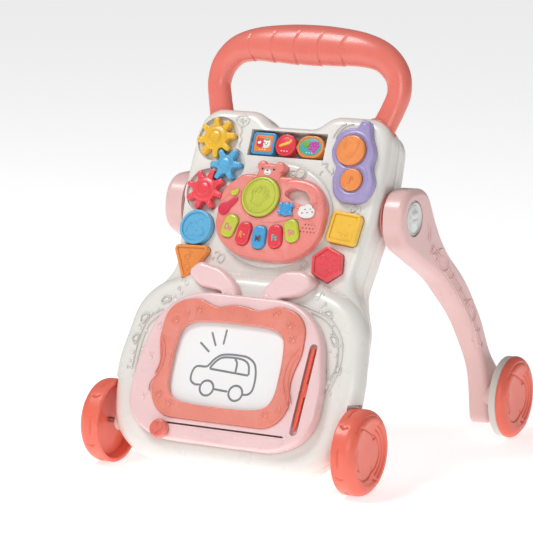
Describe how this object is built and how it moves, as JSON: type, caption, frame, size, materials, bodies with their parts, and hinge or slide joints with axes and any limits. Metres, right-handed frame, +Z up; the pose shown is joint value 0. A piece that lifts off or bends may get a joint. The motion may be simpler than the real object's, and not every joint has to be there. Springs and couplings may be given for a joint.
{
  "type": "baby walker",
  "caption": "Push-along baby walker with a bear-shaped activity panel, arched handle, folding rear legs, drawing board, piano, gears, flip blocks and shape blocks.",
  "frame": {"origin": "centre of the footprint on the floor, midway between the foremost and rearmost points of the wheels", "axes": "+Z up, -Y towards the toy panel (front), +Y towards the walking child, +X to the viewer's right when facing the panel"},
  "size_m": [0.374, 0.4208, 0.4662],
  "materials": {
    "body_white": "gloss",
    "coral_handle": "satin",
    "door_white": "satin",
    "cell_wrap": "gloss",
    "screw_steel": "satin",
    "white_plastic": "gloss",
    "axle_steel": "satin",
    "gear_yellow": "gloss",
    "gear_blue": "gloss",
    "gear_red": "gloss",
    "block_white": "gloss",
    "block_blue": "gloss",
    "block_orange": "gloss",
    "block_yellow": "gloss",
    "block_red": "gloss",
    "pad_purple": "gloss",
    "circuit_board": "matte",
    "button_orange": "gloss",
    "piano_pink": "gloss",
    "speaker_black": "matte",
    "drum_lime": "gloss",
    "key_lime": "gloss",
    "key_red": "gloss",
    "key_blue": "gloss",
    "board_pink": "gloss",
    "bezel_coral": "gloss",
    "screen_white": "gloss",
    "magnet_grey": "matte",
    "pen_red": "gloss",
    "leg_pink": "satin",
    "cap_white": "gloss",
    "wheel_coral": "satin",
    "ring_white": "satin"
  },
  "bodies": {
    "chassis": {"front_shell": "body_white", "rear_cover": "body_white", "handle": "coral_handle", "battery_door": "door_white", "pad_cells": "cell_wrap", "cover_screws": "screw_steel", "gear_posts": "white_plastic", "flip_block_rod": "white_plastic", "front_axle": "axle_steel", "sound_pad": "pad_purple", "sound_pad_board": "circuit_board", "right_hinge_pin": "coral_handle", "left_hinge_pin": "coral_handle"},
    "drawing_board": {"board_frame": "board_pink", "board_bezel": "bezel_coral", "drawing_screen": "screen_white", "board_back": "board_pink"},
    "eraser_slider": {"slider_knob": "coral_handle", "eraser_magnet": "magnet_grey"},
    "drawing_pen": {"pen": "pen_red"},
    "piano": {"piano_body": "piano_pink", "piano_back": "white_plastic", "piano_cells": "cell_wrap", "piano_board": "circuit_board", "piano_speaker": "speaker_black", "cloud_trim": "white_plastic"},
    "drum": {"drum_button": "drum_lime"},
    "paw": {"paw_button": "key_blue"},
    "big_button": {"big_sound_button": "button_orange"},
    "small_button": {"small_sound_button": "button_orange"},
    "key_1": {"piano_key_1": "key_lime"},
    "key_2": {"piano_key_2": "key_red"},
    "key_3": {"piano_key_3": "key_blue"},
    "key_4": {"piano_key_4": "key_red"},
    "key_5": {"piano_key_5": "key_lime"},
    "yellow_gear_body": {"yellow_gear": "gear_yellow"},
    "blue_gear_body": {"blue_gear": "gear_blue"},
    "red_gear_body": {"red_gear": "gear_red"},
    "square_flip_block_body": {"square_flip_block": "block_white"},
    "round_flip_block_body": {"round_flip_block": "block_white"},
    "oval_flip_block_body": {"oval_flip_block": "block_white"},
    "circle_block_body": {"circle_block": "block_blue"},
    "triangle_block_body": {"triangle_block": "block_orange"},
    "square_block_body": {"square_block": "block_yellow"},
    "hexagon_block_body": {"hexagon_block": "block_red"},
    "right_rear_leg": {"right_leg": "leg_pink", "right_leg_cover": "leg_pink", "right_hub_cap": "cap_white", "right_rear_axle": "axle_steel"},
    "right_rear_wheel_set": {"right_rear_wheel": "wheel_coral", "right_rear_ring": "ring_white"},
    "right_front_wheel_set": {"right_front_wheel": "wheel_coral"},
    "left_rear_leg": {"left_leg": "leg_pink", "left_leg_cover": "leg_pink", "left_hub_cap": "cap_white", "left_rear_axle": "axle_steel"},
    "left_rear_wheel_set": {"left_rear_wheel": "wheel_coral", "left_rear_ring": "ring_white"},
    "left_front_wheel_set": {"left_front_wheel": "wheel_coral"}
  },
  "joints": [
    {"name": "board_lift_off", "type": "slide", "parent": "chassis", "child": "drawing_board", "axis": [0, -0.9135, 0.4067], "range_m": [0, 0.04]},
    {"name": "eraser_slide", "type": "slide", "parent": "drawing_board", "child": "eraser_slider", "axis": [1, 0, 0], "range_m": [0, 0.136]},
    {"name": "pen_lift_out", "type": "slide", "parent": "drawing_board", "child": "drawing_pen", "axis": [0, -0.9135, 0.4067], "range_m": [0, 0.014]},
    {"name": "piano_lift_off", "type": "slide", "parent": "chassis", "child": "piano", "axis": [0, -0.9135, 0.4067], "range_m": [0, 0.04]},
    {"name": "key_1_press", "type": "slide", "parent": "piano", "child": "key_1", "axis": [0, -0.9135, 0.4067], "range_m": [-0.0018, 0], "stiffness_N_per_m": 300},
    {"name": "key_2_press", "type": "slide", "parent": "piano", "child": "key_2", "axis": [0, -0.9135, 0.4067], "range_m": [-0.0018, 0], "stiffness_N_per_m": 300},
    {"name": "key_3_press", "type": "slide", "parent": "piano", "child": "key_3", "axis": [0, -0.9135, 0.4067], "range_m": [-0.0018, 0], "stiffness_N_per_m": 300},
    {"name": "key_4_press", "type": "slide", "parent": "piano", "child": "key_4", "axis": [0, -0.9135, 0.4067], "range_m": [-0.0018, 0], "stiffness_N_per_m": 300},
    {"name": "key_5_press", "type": "slide", "parent": "piano", "child": "key_5", "axis": [0, -0.9135, 0.4067], "range_m": [-0.0018, 0], "stiffness_N_per_m": 300},
    {"name": "drum_press", "type": "slide", "parent": "piano", "child": "drum", "axis": [0, -0.9135, 0.4067], "range_m": [-0.0022, 0], "stiffness_N_per_m": 400},
    {"name": "paw_press", "type": "slide", "parent": "piano", "child": "paw", "axis": [0, -0.9135, 0.4067], "range_m": [-0.0022, 0], "stiffness_N_per_m": 300},
    {"name": "big_button_press", "type": "slide", "parent": "chassis", "child": "big_button", "axis": [0, -0.9135, 0.4067], "range_m": [-0.0018, 0], "stiffness_N_per_m": 400},
    {"name": "small_button_press", "type": "slide", "parent": "chassis", "child": "small_button", "axis": [0, -0.9135, 0.4067], "range_m": [-0.0018, 0], "stiffness_N_per_m": 300},
    {"name": "yellow_gear_turn", "type": "hinge", "parent": "chassis", "child": "yellow_gear_body", "pos_m": [-0.088, -0.04003, 0.34228], "axis": [0, -0.9135, 0.4067], "continuous": true},
    {"name": "blue_gear_turn", "type": "hinge", "parent": "chassis", "child": "blue_gear_body", "pos_m": [-0.069, -0.05207, 0.31524], "axis": [0, -0.9135, 0.4067], "continuous": true},
    {"name": "red_gear_turn", "type": "hinge", "parent": "chassis", "child": "red_gear_body", "pos_m": [-0.088, -0.06411, 0.2882], "axis": [0, -0.9135, 0.4067], "continuous": true},
    {"name": "square_block_flip", "type": "hinge", "parent": "chassis", "child": "square_flip_block_body", "pos_m": [0, -0.03367, 0.33813], "axis": [1, 0, 0], "continuous": true},
    {"name": "round_block_flip", "type": "hinge", "parent": "chassis", "child": "round_flip_block_body", "pos_m": [0, -0.03367, 0.33813], "axis": [1, 0, 0], "continuous": true},
    {"name": "oval_block_flip", "type": "hinge", "parent": "chassis", "child": "oval_flip_block_body", "pos_m": [0, -0.03367, 0.33813], "axis": [1, 0, 0], "continuous": true},
    {"name": "circle_block_lift", "type": "slide", "parent": "chassis", "child": "circle_block_body", "axis": [0, -0.9135, 0.4067], "range_m": [0, 0.016]},
    {"name": "triangle_block_lift", "type": "slide", "parent": "chassis", "child": "triangle_block_body", "axis": [0, -0.9135, 0.4067], "range_m": [0, 0.016]},
    {"name": "square_block_lift", "type": "slide", "parent": "chassis", "child": "square_block_body", "axis": [0, -0.9135, 0.4067], "range_m": [0, 0.016]},
    {"name": "hexagon_block_lift", "type": "slide", "parent": "chassis", "child": "hexagon_block_body", "axis": [0, -0.9135, 0.4067], "range_m": [0, 0.016]},
    {"name": "right_leg_fold", "type": "hinge", "parent": "chassis", "child": "right_rear_leg", "pos_m": [0, -0.0291, 0.2706], "axis": [-1, 0, 0], "range_deg": [0, 50]},
    {"name": "right_front_wheel_turn", "type": "hinge", "parent": "chassis", "child": "right_front_wheel_set", "pos_m": [0, -0.1606, 0.045], "axis": [1, 0, 0], "continuous": true},
    {"name": "right_rear_wheel_turn", "type": "hinge", "parent": "right_rear_leg", "child": "right_rear_wheel_set", "pos_m": [0, 0.1644, 0.046], "axis": [1, 0, 0], "continuous": true},
    {"name": "left_leg_fold", "type": "hinge", "parent": "chassis", "child": "left_rear_leg", "pos_m": [0, -0.0291, 0.2706], "axis": [-1, 0, 0], "range_deg": [0, 50]},
    {"name": "left_front_wheel_turn", "type": "hinge", "parent": "chassis", "child": "left_front_wheel_set", "pos_m": [0, -0.1606, 0.045], "axis": [1, 0, 0], "continuous": true},
    {"name": "left_rear_wheel_turn", "type": "hinge", "parent": "left_rear_leg", "child": "left_rear_wheel_set", "pos_m": [0, 0.1644, 0.046], "axis": [1, 0, 0], "continuous": true}
  ],
  "couplings": [
    {"joint": "blue_gear_turn", "follows": "yellow_gear_turn", "ratio": -1.3333},
    {"joint": "red_gear_turn", "follows": "yellow_gear_turn", "ratio": 1}
  ]
}
